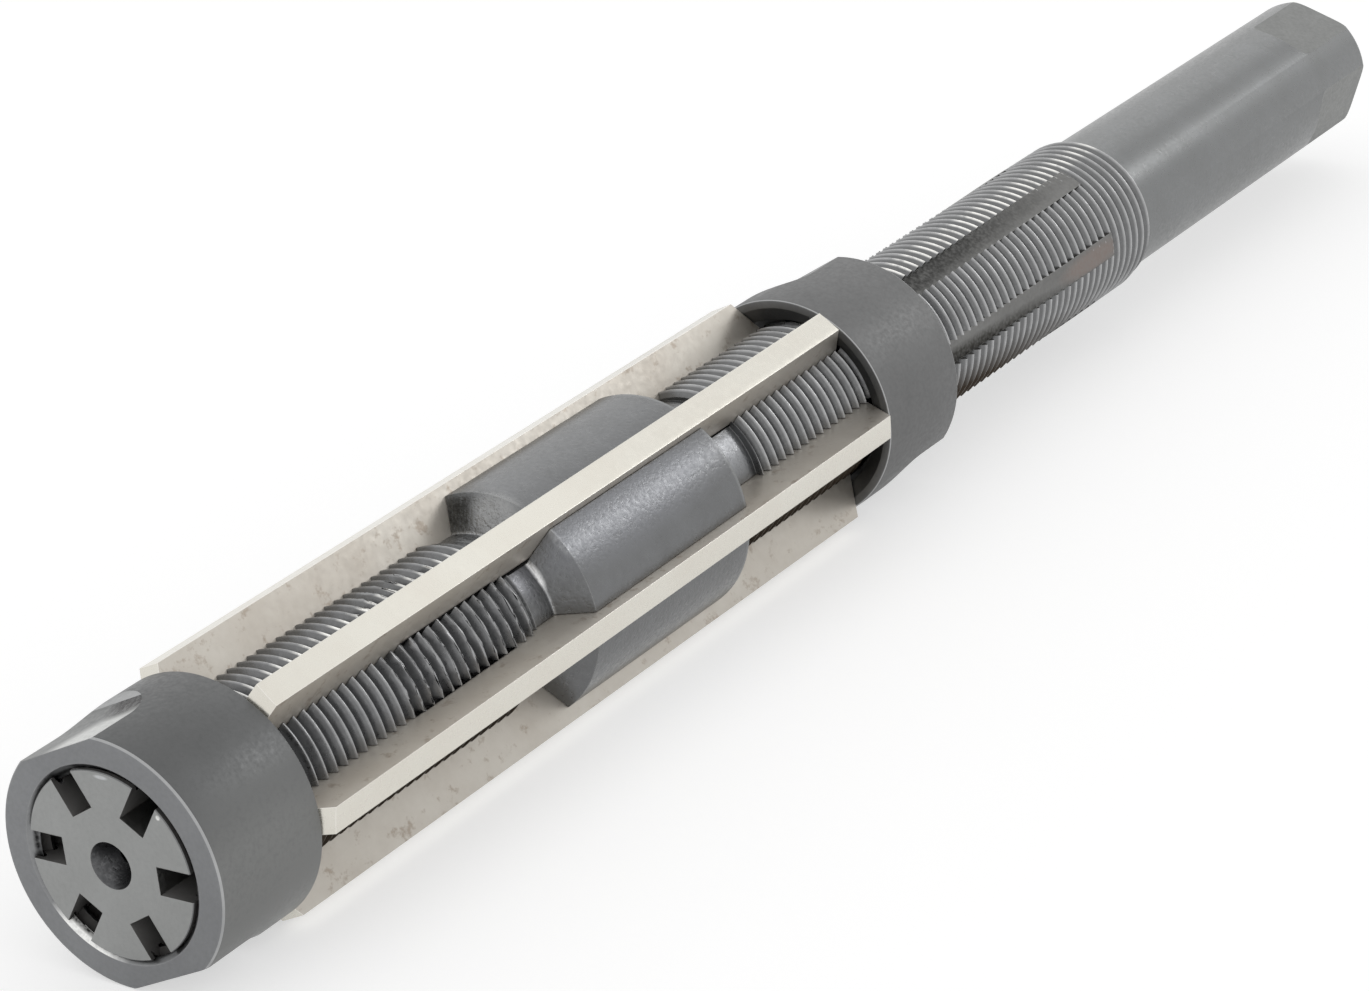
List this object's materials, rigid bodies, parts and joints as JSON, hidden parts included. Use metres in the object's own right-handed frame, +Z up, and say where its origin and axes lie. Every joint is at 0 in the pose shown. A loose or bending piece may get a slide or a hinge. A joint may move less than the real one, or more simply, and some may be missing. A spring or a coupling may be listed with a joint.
{
  "type": "adjustable hand reamer",
  "caption": "Adjustable hand reamer: sliding blades in tapered slots of a threaded body, held between two ring nuts, with a plain shank and a square drive end.",
  "frame": {"origin": "centre of the tip face, on the axis", "axes": "+X along the axis from the tip to the square drive end, +Z up with the reamer lying on its nuts"},
  "size_m": [0.2018, 0.023, 0.0214],
  "materials": {
    "body_steel": "satin blackened steel",
    "nut_steel": "satin blackened steel",
    "blade_steel": "ground high-speed steel"
  },
  "bodies": {
    "body": {"body": "body_steel"},
    "front_nut": {"front_nut": "nut_steel"},
    "rear_nut": {"rear_nut": "nut_steel"},
    "blade_1": {"blade_1": "blade_steel"},
    "blade_2": {"blade_2": "blade_steel"},
    "blade_3": {"blade_3": "blade_steel"},
    "blade_4": {"blade_4": "blade_steel"},
    "blade_5": {"blade_5": "blade_steel"},
    "blade_6": {"blade_6": "blade_steel"}
  },
  "joints": [
    {"name": "front_nut_travel", "type": "slide", "parent": "body", "child": "front_nut", "axis": [1, 0, 0], "range_m": [0, 0.0339]},
    {"name": "rear_nut_travel", "type": "slide", "parent": "body", "child": "rear_nut", "axis": [1, 0, 0], "range_m": [0, 0.03485]},
    {"name": "blade_1_slide", "type": "slide", "parent": "body", "child": "blade_1", "axis": [0.9997, 0.0236, -0.0068], "range_m": [0, 0.03439]},
    {"name": "blade_2_slide", "type": "slide", "parent": "body", "child": "blade_2", "axis": [0.9997, 0.0178, 0.017], "range_m": [0, 0.03439]},
    {"name": "blade_3_slide", "type": "slide", "parent": "body", "child": "blade_3", "axis": [0.9997, -0.0067, 0.0236], "range_m": [0, 0.03439]},
    {"name": "blade_4_slide", "type": "slide", "parent": "body", "child": "blade_4", "axis": [0.9997, -0.0236, 0.0068], "range_m": [0, 0.03439]},
    {"name": "blade_5_slide", "type": "slide", "parent": "body", "child": "blade_5", "axis": [0.9997, -0.0178, -0.017], "range_m": [0, 0.03439]},
    {"name": "blade_6_slide", "type": "slide", "parent": "body", "child": "blade_6", "axis": [0.9997, 0.0067, -0.0236], "range_m": [0, 0.03439]}
  ],
  "couplings": [
    {"joint": "rear_nut_travel", "follows": "front_nut_travel", "ratio": 1.0278},
    {"joint": "blade_1_slide", "follows": "front_nut_travel", "ratio": 1.0142},
    {"joint": "blade_2_slide", "follows": "front_nut_travel", "ratio": 1.0142},
    {"joint": "blade_3_slide", "follows": "front_nut_travel", "ratio": 1.0142},
    {"joint": "blade_4_slide", "follows": "front_nut_travel", "ratio": 1.0142},
    {"joint": "blade_5_slide", "follows": "front_nut_travel", "ratio": 1.0142},
    {"joint": "blade_6_slide", "follows": "front_nut_travel", "ratio": 1.0142}
  ]
}
